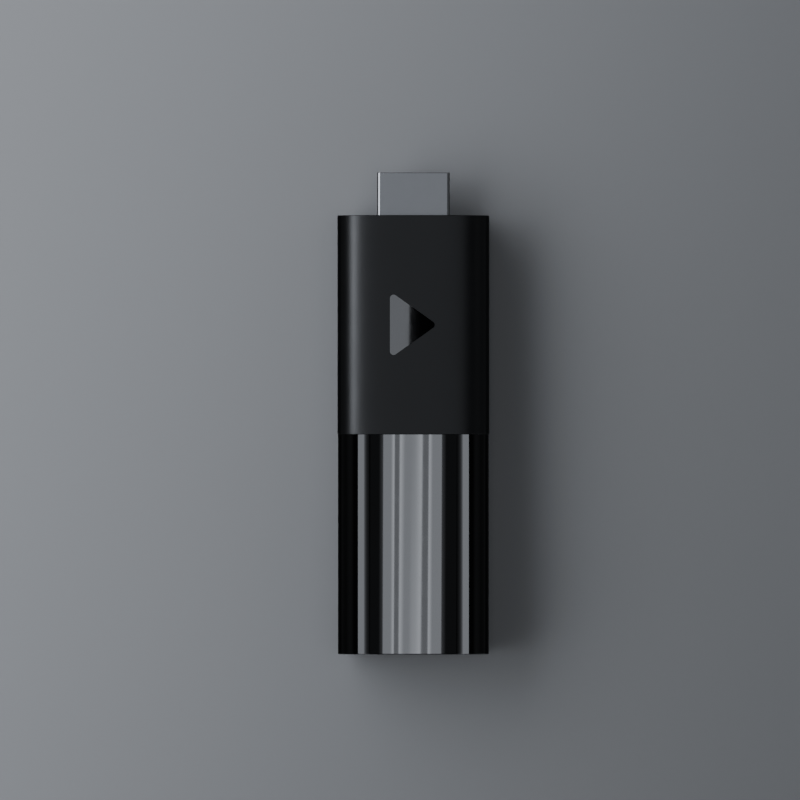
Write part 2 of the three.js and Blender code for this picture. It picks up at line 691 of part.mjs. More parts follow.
// The low fence round the processor and the memory.
function shieldFrame() {
  const corners = boxCorners(SHIELD_TOP_X, SHIELD_TOP_Y);
  const outline = new THREE.Shape(corners);
  outline.holes.push(new THREE.Path(insetCorners(corners, SHEET)));
  return alongZ(outline, BOARD_TOP, BOARD_TOP + SHIELD_TOP_HEIGHT);
}

// A shallow tray of sheet metal with its open side down: a plate with a skirt round it.
function tray(xSpan, ySpan, lowZ, highZ) {
  const inner = insetCorners(boxCorners(xSpan, ySpan), SHEET);
  const room = block(
    [inner[0].x, inner[1].x], [inner[1].y, inner[2].y], [lowZ - OVERCUT, highZ - SHEET]);
  return toSolid(block(xSpan, ySpan, [lowZ, highZ])).subtract(toSolid(room));
}

function shieldLid() {
  const grow = SHEET + LID_GAP;
  const top = BOARD_TOP + SHIELD_TOP_HEIGHT + SHEET + LID_GAP;
  const x = [SHIELD_TOP_X[0] - grow, SHIELD_TOP_X[1] + grow];
  const y = [SHIELD_TOP_Y[0] - grow, SHIELD_TOP_Y[1] + grow];
  return toGeometry(tray(x, y, top - SHEET - LID_SKIRT, top));
}

// The can under the board is the same kind of tray, turned over.
function shieldCanBelow() {
  const height = SHIELD_BASE_HEIGHT;
  const geometry = toGeometry(tray(SHIELD_BASE_X, SHIELD_BASE_Y, 0, height));
  geometry.rotateY(Math.PI);
  return geometry.translate(0, 0, BOARD_BASE);
}

function spreaderPlate(lowZ, holeRadius) {
  const outline = roundedPath(new THREE.Shape(), boxCorners(SPREADER_X, SPREADER_Y), SPREADER_CORNER);
  if (holeRadius > 0) {
    SCREW_PLACES.forEach(([x, y]) => roundHole(outline, x, y, holeRadius));
  }
  return alongZ(outline, lowZ, lowZ + SPREADER_THICKNESS);
}

function uprightCylinder(x, y, radius, lowZ, highZ) {
  const geometry = new THREE.CylinderGeometry(radius, radius, highZ - lowZ, ROUND_STEPS);
  geometry.rotateX(Math.PI / 2);
  return geometry.translate(x, y, (lowZ + highZ) / 2);
}

// The lower spreader carries two posts that reach up to the board, each with a blind hole for its screw.
function spreaderBelow() {
  const plate = toSolid(spreaderPlate(SPREADER_BASE_Z, 0));
  const posts = SCREW_PLACES.map(([x, y]) => toSolid(
    uprightCylinder(x, y, POST_RADIUS, SPREADER_BASE_Z + SPREADER_THICKNESS / 2, BOARD_BASE)));
  const holes = SCREW_PLACES.map(([x, y]) => toSolid(
    uprightCylinder(x, y, SCREW_HOLE_RADIUS, POST_HOLE_FLOOR_Z, BOARD_BASE + OVERCUT)));
  return toGeometry(cutBy(joined(plate, posts), holes));
}

// A pan-head screw standing on the upper spreader, turned about Z, with a cross in its head.
function spreaderScrew() {
  const seat = SPREADER_TOP_Z + SPREADER_THICKNESS;
  const top = seat + SCREW_HEAD_HEIGHT;
  const profile = [
    new THREE.Vector2(0, SCREW_TIP_Z),
    new THREE.Vector2(SCREW_RADIUS - SCREW_CHAMFER, SCREW_TIP_Z),
    new THREE.Vector2(SCREW_RADIUS, SCREW_TIP_Z + SCREW_CHAMFER),
    new THREE.Vector2(SCREW_RADIUS, seat),
    new THREE.Vector2(SCREW_HEAD_RADIUS, seat),
    new THREE.Vector2(SCREW_HEAD_RADIUS, top - SCREW_HEAD_EDGE),
    new THREE.Vector2(SCREW_HEAD_RADIUS - SCREW_CHAMFER, top),
    new THREE.Vector2(0, top),
  ];
  const turned = new THREE.LatheGeometry(profile, ROUND_STEPS).rotateX(Math.PI / 2);
  const [length, width, depth] = SCREW_CROSS;
  const z = [top - depth, top + OVERCUT];
  const bars = [
    block([-length / 2, length / 2], [-width / 2, width / 2], z),
    block([-width / 2, width / 2], [-length / 2, length / 2], z),
  ];
  return toGeometry(cutBy(toSolid(turned), bars.map(toSolid)));
}

// A stamped aerial that runs along X from its first leg: a raised strip on two legs.
function aerial() {
  const [length, width] = AERIAL_SIZE;
  const strip = block([0, length], [0, width], [AERIAL_RISE - AERIAL_SHEET, AERIAL_RISE]);
  const legTop = AERIAL_RISE - AERIAL_SHEET / 2;
  const legs = AERIAL_LEGS.map((x) => block([x, x + AERIAL_SHEET], [0, width / 2], [0, legTop]));
  return toGeometry(joined(toSolid(strip), legs.map(toSolid)));
}

// A rectangular part soldered on top of the board or under it.
function addBoardPart(name, [x, y], [lengthX, lengthY, height], finish, upwards = 1) {
  const face = upwards > 0 ? BOARD_TOP : BOARD_BASE;
  const middle = face + (upwards * height) / 2;
  addPiece(name, new THREE.BoxGeometry(lengthX, lengthY, height), finish, x, y, middle);
}

// A soft pad that fills the gap between two faces, one above the other.
function addThermalPad(name, [x, y], [lengthX, lengthY], lowZ, highZ) {
  const middle = (lowZ + highZ) / 2;
  addPiece(name, new THREE.BoxGeometry(lengthX, lengthY, highZ - lowZ), padGrey, x, y, middle);
}

// ---------------------------------------------------------------- assembly

addPiece('front_casing', frontCasing(), matteBlack);
addPiece('rear_casing', rearCasing(), glossBlack);
addPiece('mark_inlay', markInlay(), glossBlack);

addPiece('hdmi_plug_shell', hdmiShell(), platedSteel);
addPiece('hdmi_plug_insulator', hdmiInsulator(), darkInsulator);
hdmiContactPlaces().forEach(({ number, x, upwards }) => {
  addPiece(`hdmi_contact_${String(number).padStart(2, '0')}`, hdmiContact(upwards), goldPlate, x, 0, MID_Z);
});

addPiece('micro_usb_shell', usbShell(), platedSteel);
addPiece('micro_usb_tongue', usbTongue(), darkInsulator);
usbContactPlaces().forEach((y, i) => {
  addPiece(`micro_usb_contact_${i + 1}`, usbContact(), goldPlate, 0, y, MID_Z);
});
addPiece('light_pipe', lightPipe(), clearPlastic, LIGHT_INNER_X, LIGHT_Y, LIGHT_Z);
addBoardPart('status_led', [LIGHT_INNER_X - LED_SET_BACK, LIGHT_Y], LED_SIZE, clearPlastic);

addPiece('main_board', mainBoard(), boardGreen);
addBoardPart('processor', PROCESSOR.at, PROCESSOR.size, chipBlack);
MEMORY.at.forEach((at, i) => addBoardPart(`memory_chip_${i + 1}`, at, MEMORY.size, chipBlack));
addBoardPart('flash_chip', FLASH.at, FLASH.size, chipBlack, -1);
addBoardPart('wireless_module', WIRELESS.at, WIRELESS.size, platedSteel);
addBoardPart('power_chip', POWER_CHIP.at, POWER_CHIP.size, chipBlack);
addBoardPart('clock_crystal', CRYSTAL.at, CRYSTAL.size, platedSteel);
INDUCTORS.at.forEach((at, i) => addBoardPart(`inductor_${i + 1}`, at, INDUCTORS.size, chipBlack));
CAPACITORS.at.forEach((at, i) => addBoardPart(`capacitor_${i + 1}`, at, CAPACITORS.size, ceramicTan));

addPiece('shield_frame_above', shieldFrame(), platedSteel);
addPiece('shield_lid_above', shieldLid(), platedSteel);
addPiece('shield_can_below', shieldCanBelow(), platedSteel);

const lidInside = BOARD_TOP + SHIELD_TOP_HEIGHT + LID_GAP;
const lidOutside = lidInside + SHEET;
const processorTop = BOARD_TOP + PROCESSOR.size[2];
const shieldMiddle = [0, (SHIELD_TOP_Y[0] + SHIELD_TOP_Y[1]) / 2];
const canMiddle = [0, (SHIELD_BASE_Y[0] + SHIELD_BASE_Y[1]) / 2];
const canUnderside = BOARD_BASE - SHIELD_BASE_HEIGHT;
const spreaderBelowTop = SPREADER_BASE_Z + SPREADER_THICKNESS;
addThermalPad('thermal_pad_processor', PROCESSOR.at, PROCESSOR_PAD, processorTop, lidInside);
addThermalPad('thermal_pad_above', shieldMiddle, PAD_ABOVE, lidOutside, SPREADER_TOP_Z);
addThermalPad('thermal_pad_below', canMiddle, PAD_BELOW, spreaderBelowTop, canUnderside);

addPiece('heat_spreader_above', spreaderPlate(SPREADER_TOP_Z, SCREW_HOLE_RADIUS), spreaderAluminium);
addPiece('heat_spreader_below', spreaderBelow(), spreaderAluminium);
SCREW_PLACES.forEach(([x, y], i) => addPiece(`spreader_screw_${i + 1}`, spreaderScrew(), platedSteel, x, y));

// The side aerial is the rear one turned a quarter, so that it runs along Y.
const [rearX, rearY] = AERIAL_REAR_AT;
const [sideX, sideY] = AERIAL_SIDE_AT;
const sideAerial = aerial().rotateZ(Math.PI / 2);
addPiece('aerial_rear', aerial(), platedSteel, rearX, rearY, BOARD_TOP);
addPiece('aerial_side', sideAerial, platedSteel, sideX + AERIAL_SIZE[1], sideY, BOARD_TOP);

export default stick;
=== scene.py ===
# A streaming stick lying on a grey surface, seen from straight above: fine casings, connectors and a mark
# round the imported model, with procedural plastics and metals, studio softboxes and a long-lens camera.
import math

import bmesh
import bpy
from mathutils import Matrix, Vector
from mathutils.kdtree import KDTree


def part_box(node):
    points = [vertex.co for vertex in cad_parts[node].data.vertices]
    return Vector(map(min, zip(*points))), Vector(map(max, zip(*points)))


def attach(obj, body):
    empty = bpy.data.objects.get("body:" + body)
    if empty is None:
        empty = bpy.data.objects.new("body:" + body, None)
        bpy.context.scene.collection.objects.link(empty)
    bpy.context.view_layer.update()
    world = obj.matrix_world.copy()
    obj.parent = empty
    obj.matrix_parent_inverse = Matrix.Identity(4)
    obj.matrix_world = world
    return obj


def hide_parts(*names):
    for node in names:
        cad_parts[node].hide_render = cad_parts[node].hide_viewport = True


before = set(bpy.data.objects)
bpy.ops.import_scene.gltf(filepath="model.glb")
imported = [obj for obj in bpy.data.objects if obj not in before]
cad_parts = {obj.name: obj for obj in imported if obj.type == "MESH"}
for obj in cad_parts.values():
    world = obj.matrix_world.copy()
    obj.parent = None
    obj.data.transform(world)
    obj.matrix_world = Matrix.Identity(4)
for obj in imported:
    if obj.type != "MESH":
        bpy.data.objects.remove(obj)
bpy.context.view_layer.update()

# ---------------------------------------------------------------- driving dimensions, in metres

MM = 0.001

# The casing: the halves' boxes are read from the imported model, and the section is the CAD model's.
FRONT_LO, FRONT_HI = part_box("front_casing")
REAR_LO, REAR_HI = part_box("rear_casing")
HALF_WIDTH = FRONT_HI.x
HEIGHT = FRONT_HI.z
MID_Z = HEIGHT / 2
FRONT_Y = FRONT_HI.y
REAR_Y = REAR_LO.y
SEAM_Y = REAR_HI.y
SIDE_LAND = 5.0 * MM
BASE_LAND = 14.0 * MM
CROWN_POWER = 2.7
BASE_POWER = 2.2
CROWN_STEPS = 84
BASE_STEPS = 40
CROWN_BUNCHING = 1.6
WALL = 1.4 * MM
END_WALL = 1.6 * MM
END_EDGE = 0.15 * MM
SEAM_EDGE = 0.05 * MM
EDGE_STEPS = 4
EDGE_GUARD = 0.03 * MM
SHARP_DEGREES = 35
# A face runs along the stick if its normal's Y is under the first of these, and its corners lie on the
# outline if they are within the second.
ALONG_LIMIT = 0.01
ON_OUTLINE = 0.002 * MM
REAR_INSET = HALF_WIDTH - REAR_HI.x
LIP_INSET = 0.85 * MM
REBATE_INSET = 0.75 * MM
REBATE_LENGTH = 4.2 * MM

# The mark.
MARK_LO, MARK_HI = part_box("mark_inlay")
MARK_DEPTH = 0.5 * MM
MARK_GAP = 0.04 * MM
MARK_CORNER = 0.7 * MM
MARK_MITRE = 1.1 * MM
MARK_CORNER_STEPS = 10
CORE_MARGIN = 5 * MM

# The HDMI plug.
PLUG_LO, PLUG_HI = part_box("hdmi_plug_shell")
PLUG_SIDE_HEIGHT = 2.6 * MM
PLUG_BEVEL = 1.5 * MM
PLUG_CORNER = 0.65 * MM
PLUG_WALL = 0.3 * MM
PLUG_LEAD_IN = 0.26 * MM
PLUG_CORNER_STEPS = 8
PLUG_LEAD_IN_STEPS = 8
PLUG_INNER_EDGE_STEPS = 3
SHEET_SHARP_DEGREES = 50
PLUG_BACK_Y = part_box("hdmi_plug_insulator")[0].y
PLUG_CLEARANCE = 0.12 * MM

# The micro-USB inlet and the status light.
INLET_LO, INLET_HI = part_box("micro_usb_shell")
INLET_Y = (INLET_LO.y + INLET_HI.y) / 2
INLET_WIDTH = 7.4 * MM
INLET_SIDE_HEIGHT = 1.25 * MM
INLET_BEVEL = 1.0 * MM
INLET_CORNER = 0.35 * MM
INLET_WALL = 0.25 * MM
INLET_FLARE = 0.14 * MM
INLET_FLARE_LENGTH = 3 * INLET_FLARE
INLET_FLARE_STEPS = 4
INLET_OPENING = (8.4 * MM, 3.2 * MM)
INLET_OPENING_CORNER = 0.95 * MM
OPENING_EDGE = 0.12 * MM
OVERCUT = 1.0 * MM
# A cutter goes this many wall thicknesses deep.
CUT_DEPTH = 3
LIGHT_LO, LIGHT_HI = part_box("light_pipe")
LIGHT_RADIUS = 0.6 * MM
LIGHT_CLEARANCE = 0.1 * MM
LIGHT_DOME = 0.06 * MM
LIGHT_DOME_POWER = 0.5
LIGHT_DOME_STEPS = 8
FLANGE_LENGTH = 0.5 * MM
FLANGE_EDGE = 0.05 * MM
# The corner radius of the light's hole, as a share of half its width: nearly round.
HOLE_ROUNDNESS = 0.98
ROUND_STEPS = 48

# The CAD pieces' eased edges.
BLOCK_EDGE = 0.08 * MM
SHEET_EDGE = 0.03 * MM
EASED_STEPS = 2
EASED_DEGREES = 40

# The camera looks straight down from far away.
CAMERA_HEIGHT = 2.5
SENSOR = 36.0
FIELD = 153.55 * MM
CAMERA_AT = (-2.57 * MM, 2.51 * MM)
CAMERA_SEES = 20.0

FLOOR_HALF = 6.0

# The key softbox, low on the left. A lamp's size is (horizontal, other), and its angles are in degrees.
KEY_AT = (-0.205, 0.107, 0.116)
KEY_AIM = (-0.115, 0.080, 0.0)
KEY_SIZE = (0.715, 0.273)
KEY_SPREAD = 120
KEY_RADIANCE = 0.97
LAMP_TINT = (0.95, 1.0, 1.09)

# A far soft fill overhead, and two ceilings that are only mirrored: by the matte half, and by the metal.
FILL_AT = (0.75, -0.06, 4.5)
FILL_SIZE = (2.1, 2.7)
FILL_RADIANCE = 0.68
CEILING_SIZE = (2.6, 2.6)
MATTE_CEILING_AT = (-0.25, 0.0, 2.1)
MATTE_CEILING_RADIANCE = 0.42
METAL_CEILING_AT = (0.0, 0.0, 2.1)
METAL_CEILING_RADIANCE = 0.285

# The strip that runs as a soft highlight down the matte half.
SHEEN_DISTANCE = 0.9
SHEEN_TILT = 41
SHEEN_Y = 0.30
SHEEN_SIZE = (0.66, 0.19)
SHEEN_RADIANCE = 7.2

# The two long strips that the gloss half mirrors near its sides: a metre away, and fading towards the zenith.
STRIP_TILT = 26
STRIP_SIZE = (2.4, 0.2456)
STRIP_RADIANCE = 4.3
STRIP_BANDS = [(0.0, 1.0), (0.57, 1.0), (0.65, 0.45), (0.76, 0.16), (0.90, 0.05), (1.0, 0.04)]

# The panel that part of the mark mirrors.
MARK_PANEL_AT = (-0.155, 0.022, 0.8)
MARK_PANEL_SIZE = (0.30, 0.075)
MARK_PANEL_SPIN = -7
MARK_PANEL_RADIANCE = 3.0

# The low softboxes that the stick's sides mirror in low views.
SIDE_BOXES = (("softbox_beyond", (-0.64, 0.64, 0.42)), ("softbox_near", (0.68, -0.68, 0.26)))
SIDE_BOX_DISTANCE = 1.6
SIDE_BOX_SIZE = (1.3, 0.5)
SIDE_BOX_RADIANCE = 1.2
SIDE_BOX_BANDS = [(0.0, 0.0), (0.35, 0.7), (0.75, 1.0), (1.0, 0.1)]

# The ceiling panel that the gloss half mirrors. Its bands' places are slopes from straight up, and their
# levels are shares of its radiance.
PANEL_HEIGHT = 0.8
PANEL_Y = -0.034
PANEL_LENGTH = 0.24
PANEL_SPIN = -6
PANEL_RADIANCE = 8.2
PANEL_REACH = 0.33
PANEL_ENDS = (-0.16, 0.14)
PANEL_FADE = 0.006
PANEL_SPILL = 0.045
PANEL_BARS = (-0.058, 0.034)
BAR_WIDTH = 0.025
BAR_LEVEL = 0.31
FIELD_LEVEL = 0.53
SPILL_NEAR = 0.11
SPILL_FAR = 0.015
# One side of a bar: (distance from the bar's edge, level).
BAR_RIM = [(0.0, BAR_LEVEL), (0.004, 1.0), (0.008, 1.0), (0.025, FIELD_LEVEL)]

# The studio's brightness by height, as (place, from 0 straight down to 1 straight up; level). Flags stand
# beside the stick and walls beyond its ends, and the walls begin between two slants away from the sides.
FLAG_LEVELS = [
    (0.0, 0.02),
    (0.37, 0.02),
    (0.43, 0.10),
    (0.58, 0.08),
    (0.70, 0.07),
    (0.76, 0.11),
    (0.82, 0.14),
    (0.85, 0.12),
    (0.88, 0.03),
    (1.0, 0.02),
]
WALL_LEVELS = [(0.0, 0.12), (0.35, 0.26), (0.62, 0.26), (0.80, 0.04)]
WALL_BEGINS = (0.15, 0.60)
WORLD_TINT = (0.96, 1.0, 1.06)

# A noise's usual range, which its variations are spread over.
NOISE_LOW = 0.3
NOISE_HIGH = 0.7
PIANO_BLACK = ((0.0011, 0.0011, 0.0013), (0.0016, 0.0016, 0.0019))
FLOOR_GREY = ((0.411, 0.412, 0.414), (0.417, 0.418, 0.420))

# ---------------------------------------------------------------- mesh building


def mesh_piece(name, vertices, faces):
    mesh = bpy.data.meshes.new(name)
    mesh.from_pydata(vertices, [], faces)
    shape = bmesh.new()
    shape.from_mesh(mesh)
    bmesh.ops.recalc_face_normals(shape, faces=shape.faces)
    shape.to_mesh(mesh)
    shape.free()
    piece = bpy.data.objects.new(name, mesh)
    bpy.context.scene.collection.objects.link(piece)
    return piece


def loft(name, rings, closed=False):
    """A skin over a run of equal rings: capped at both ends, or closed on itself as a tube's wall is."""
    count = len(rings[0])
    vertices = [point for ring in rings for point in ring]
    faces = []
    for i in range(len(rings) if closed else len(rings) - 1):
        near = i * count
        far = ((i + 1) % len(rings)) * count
        for j in range(count):
            k = (j + 1) % count
            faces.append((near + j, near + k, far + k, far + j))
    if not closed:
        faces.append(tuple(range(count)))
        faces.append(tuple(range(len(vertices) - count, len(vertices))))
    return mesh_piece(name, vertices, faces)


def boolean(piece, other, operation):
    """Joins, cuts or keeps what two shapes share, and drops the other shape."""
    step = piece.modifiers.new("boolean", "BOOLEAN")
    step.operation = operation
    step.solver = "EXACT"
    step.object = other
    bpy.context.view_layer.update()
    result = bpy.data.meshes.new_from_object(piece.evaluated_get(bpy.context.evaluated_depsgraph_get()))
    piece.modifiers.clear()
    piece.data = result
    bpy.data.objects.remove(other)


def smooth(piece, sharp_degrees=SHARP_DEGREES):
    piece.data.shade_smooth()
    piece.data.set_sharp_from_angle(angle=math.radians(sharp_degrees))


def arc(steps, turn=math.pi / 2):
    return [turn * i / steps for i in range(steps + 1)]


def rounded_outline(corners, radius, inset=0.0, steps=6):
    """A convex outline, given anticlockwise, moved inwards by an inset and with its corners rounded."""
    points = []
    count = len(corners)
    for i, corner in enumerate(corners):
        corner = Vector(corner)
        along_in = (corner - Vector(corners[i - 1])).normalized()
        along_out = (Vector(corners[(i + 1) % count]) - corner).normalized()
        inward_in = Vector((-along_in.y, along_in.x))
        inward_out = Vector((-along_out.y, along_out.x))
        mitre = (inward_in + inward_out) / (1 + inward_in.dot(inward_out))
        turn = math.acos(max(-1.0, min(1.0, along_in.dot(along_out))))
        middle = corner + mitre * (inset + radius)
        for angle in arc(steps, turn):
            away = -inward_in * math.cos(angle) + along_in * math.sin(angle)
            points.append(middle + away * radius)
    return points


def plug_corners(width, height, side_height, bevel):
    """A connector's outline about its middle: square above, bevelled below."""
    half = width / 2
    top = height / 2
    return [
        (-half + bevel, -top),
        (half - bevel, -top),
        (half, top - side_height),
        (half, top),
        (-half, top),
        (-half, top - side_height),
    ]


def plug_outline():
    return plug_corners(PLUG_HI.x - PLUG_LO.x, PLUG_HI.z - PLUG_LO.z, PLUG_SIDE_HEIGHT, PLUG_BEVEL)


def across_y(outline, y):
    """An outline about the stick's mid-line, set across the stick at a Y."""
    return [Vector((point.x, y, MID_Z + point.y)) for point in outline]


def across_x(outline, x, middle_y, middle_z=MID_Z):
    """An outline set in the stick's side at an X."""
    return [Vector((x, middle_y + point.x, middle_z + point.y)) for point in outline]


# ---------------------------------------------------------------- the casing's section


def section_arc(centre_x, reach_x, reach_z, power, steps, bunching):
    """A superellipse arc from the side land to the crown or the base, as (x, z, normal x, normal z)."""
    points = []
    for i in range(steps + 1):
        angle = math.pi / 2 * (1 - (1 - i / steps) ** bunching)
        across = max(math.cos(angle), 0.0) ** (2 / power)
        up = max(math.sin(angle), 0.0) ** (2 / power)
        normal = Vector((across ** (power - 1) / reach_x, up ** (power - 1) / reach_z)).normalized()
        points.append((centre_x + reach_x * across, reach_z * up, normal.x, normal.y))
    return points


ARC_HEIGHT = (HEIGHT - SIDE_LAND) / 2
CROWN = section_arc(0.0, HALF_WIDTH, ARC_HEIGHT, CROWN_POWER, CROWN_STEPS, CROWN_BUNCHING)
BASE = section_arc(BASE_LAND / 2, HALF_WIDTH - BASE_LAND / 2, ARC_HEIGHT, BASE_POWER, BASE_STEPS, 1.0)


def section_ring(y, inset):
    """The casing's outline at a Y, moved inwards by an inset."""
    def place(point, sideways, upwards):
        x, z, normal_x, normal_z = point
        rise = SIDE_LAND / 2 + z - inset * normal_z
        return Vector((sideways * (x - inset * normal_x), y, MID_Z + upwards * rise))

    ring = [place(point, 1, 1) for point in CROWN]
    ring += [place(point, -1, 1) for point in reversed(CROWN[:-1])]
    ring += [place(point, -1, -1) for point in BASE]
    ring += [place(point, 1, -1) for point in reversed(BASE)]
    return ring


def settle_normals(piece, inset):
    """Gives the long outer faces the section's own normals, so that no cut shows in a reflection."""
    outline = section_ring(0.0, inset)
    outward = [point - inner for point, inner in zip(outline, section_ring(0.0, inset + MM))]
    tree = KDTree(len(outline))
    for i, point in enumerate(outline):
        tree.insert(point, i)
    tree.balance()
    normals = []
    for face in piece.data.polygons:
        runs_along = abs(face.normal.y) < ALONG_LIMIT
        for corner in face.vertices:
            point = piece.data.vertices[corner].co
            (_, near, from_near), (_, far, from_far) = tree.find_n(Vector((point.x, 0.0, point.z)), 2)
            span = (outline[near] - outline[far]).length
            if runs_along and from_near + from_far - span < ON_OUTLINE:
                normals.append((outward[near] * from_far + outward[far] * from_near).normalized())
            else:
                normals.append(Vector((0.0, 0.0, 0.0)))
    piece.data.normals_split_custom_set(normals)


def edge_rings(end_y, inset, radius, inwards):
    """The rings that round an outer edge, from end face to side, with a guard ring on each side of it."""
    rings = [section_ring(end_y, inset + radius + EDGE_GUARD)]
    for angle in arc(EDGE_STEPS):
        y = end_y + inwards * radius * (1 - math.cos(angle))
        rings.append(section_ring(y, inset + radius * (1 - math.sin(angle))))
    rings.append(section_ring(end_y + inwards * (radius + EDGE_GUARD), inset))
    return rings


# ---------------------------------------------------------------- casings and mark


def flared(depth):
    """A cutter's run into a face, as (way in, growth). It flares at the face, so that the edge is eased."""
    return [(-OVERCUT, OPENING_EDGE), (0.0, OPENING_EDGE), (OPENING_EDGE, 0.0), (depth, 0.0)]


def cutter_across_y(name, corners, radius, face_y, depth, clearance):
    rings = [
        across_y(rounded_outline(corners, radius, -clearance - growth), face_y - way_in)
        for way_in, growth in flared(depth)
    ]
    return loft(name, rings)


def cutter_across_x(name, corners, radius, face_x, depth, middle_y, middle_z=MID_Z):
    rings = [
        across_x(rounded_outline(corners, radius, -growth), face_x - way_in, middle_y, middle_z)
        for way_in, growth in flared(depth)
    ]
    return loft(name, rings)


def box_corners(width, height):
    across = width / 2
    up = height / 2
    return [(-across, -up), (across, -up), (across, up), (-across, up)]


def mark_prism(name, grow):
    """The mark's triangle, pointing to +X, as an upright prism through the crown."""
    corners = [
        (MARK_LO.x, MARK_LO.y - MARK_MITRE),
        (MARK_HI.x + MARK_MITRE / 2, (MARK_LO.y + MARK_HI.y) / 2),
        (MARK_LO.x, MARK_HI.y + MARK_MITRE),
    ]
    outline = rounded_outline(corners, MARK_CORNER, -grow, steps=MARK_CORNER_STEPS)
    return loft(name, [[Vector((p.x, p.y, z)) for p in outline] for z in (MID_Z, HEIGHT + OVERCUT)])


def core(name, inset):
    """The casing's outline moved inwards by an inset, as a solid under the mark."""
    ends = (MARK_LO.y - CORE_MARGIN, MARK_HI.y + CORE_MARGIN)
    return loft(name, [section_ring(y, inset) for y in ends])


def front_casing():
    rings = [
        section_ring(FRONT_Y - END_WALL, WALL),
        section_ring(FRONT_LO.y, WALL),
        section_ring(FRONT_LO.y, LIP_INSET),
        section_ring(SEAM_Y, LIP_INSET),
    ]
    rings += edge_rings(SEAM_Y, 0.0, SEAM_EDGE, 1)
    rings += reversed(edge_rings(FRONT_Y, 0.0, END_EDGE, -1))
    piece = loft("front_casing_skin", rings)
    depth = CUT_DEPTH * END_WALL
    plug_hole = cutter_across_y("plug_hole", plug_outline(), PLUG_CORNER, FRONT_Y, depth, PLUG_CLEARANCE)
    boolean(piece, plug_hole, "DIFFERENCE")
    recess = mark_prism("mark_recess", MARK_GAP)
    boolean(recess, core("recess_floor", MARK_DEPTH + MARK_GAP), "DIFFERENCE")
    boolean(piece, recess, "DIFFERENCE")
    smooth(piece)
    settle_normals(piece, 0.0)
    return piece


def rear_casing():
    rings = edge_rings(REAR_Y, REAR_INSET, END_EDGE, 1)
    rings += reversed(edge_rings(SEAM_Y, REAR_INSET, SEAM_EDGE, -1))
    rings += [
        section_ring(SEAM_Y, REBATE_INSET),
        section_ring(SEAM_Y - REBATE_LENGTH, REBATE_INSET),
        section_ring(SEAM_Y - REBATE_LENGTH, WALL + REAR_INSET),
        section_ring(REAR_Y + END_WALL, WALL + REAR_INSET),
    ]
    piece = loft("rear_casing_skin", rings)
    side_x = REAR_HI.x
    depth = CUT_DEPTH * WALL
    opening = box_corners(*INLET_OPENING)
    inlet = cutter_across_x("inlet_hole", opening, INLET_OPENING_CORNER, side_x, depth, INLET_Y)
    boolean(piece, inlet, "DIFFERENCE")
    light_y = (LIGHT_LO.y + LIGHT_HI.y) / 2
    light_z = (LIGHT_LO.z + LIGHT_HI.z) / 2
    hole = LIGHT_RADIUS + LIGHT_CLEARANCE
    round_hole = box_corners(2 * hole, 2 * hole)
    corner = hole * HOLE_ROUNDNESS
    light = cutter_across_x("light_hole", round_hole, corner, side_x, depth, light_y, light_z)
    boolean(piece, light, "DIFFERENCE")
    smooth(piece)
    settle_normals(piece, REAR_INSET)
    return piece


def mark_inlay():
    piece = mark_prism("mark_inlay_plate", 0.0)
    boolean(piece, core("mark_crown", 0.0), "INTERSECT")
    boolean(piece, core("mark_floor", MARK_DEPTH), "DIFFERENCE")
    smooth(piece)
    settle_normals(piece, 0.0)
    return piece


# ---------------------------------------------------------------- connectors and light


def plug_shell():
    """The plug's folded sheet: a rounded rim at its tip, and an open back."""
    corners = plug_outline()
    tip = PLUG_HI.y
    inner_edge = PLUG_WALL - PLUG_LEAD_IN

    def ring(inset, y):
        return across_y(rounded_outline(corners, PLUG_CORNER - inset, inset, PLUG_CORNER_STEPS), y)

    rings = [ring(0.0, PLUG_BACK_Y), ring(0.0, tip - PLUG_LEAD_IN - EDGE_GUARD)]
    for angle in arc(PLUG_LEAD_IN_STEPS):
        inset = PLUG_LEAD_IN * (1 - math.cos(angle))
        rings.append(ring(inset, tip - PLUG_LEAD_IN * (1 - math.sin(angle))))
    for angle in arc(PLUG_INNER_EDGE_STEPS)[1:]:
        inset = PLUG_LEAD_IN + inner_edge * math.sin(angle)
        rings.append(ring(inset, tip - inner_edge * (1 - math.cos(angle))))
    rings.append(ring(PLUG_WALL, PLUG_BACK_Y))
    piece = loft("plug_shell_sheet", rings, closed=True)
    smooth(piece, SHEET_SHARP_DEGREES)
    return piece


def inlet_shell():
    """The inlet's folded sheet, whose mouth flares out a little to guide the lead's plug in."""
    height = INLET_HI.z - INLET_LO.z
    corners = plug_corners(INLET_WIDTH, height, INLET_SIDE_HEIGHT, INLET_BEVEL)
    mouth = INLET_HI.x

    def ring(inset, x):
        radius = INLET_CORNER - min(inset, INLET_CORNER / 2)
        return across_x(rounded_outline(corners, radius, inset), x, INLET_Y)

    def flared_ring(inset, angle):
        x = mouth - INLET_FLARE_LENGTH * math.cos(angle)
        return ring(inset - INLET_FLARE * math.sin(angle), x)

    turns = arc(INLET_FLARE_STEPS)
    rings = [ring(0.0, INLET_LO.x), ring(0.0, mouth - INLET_FLARE_LENGTH)]
    rings += [flared_ring(0.0, angle) for angle in turns[1:]]
    rings += [flared_ring(INLET_WALL, angle) for angle in reversed(turns)]
    rings += [ring(INLET_WALL, INLET_LO.x)]
    piece = loft("inlet_shell_sheet", rings, closed=True)
    smooth(piece, SHEET_SHARP_DEGREES)
    return piece


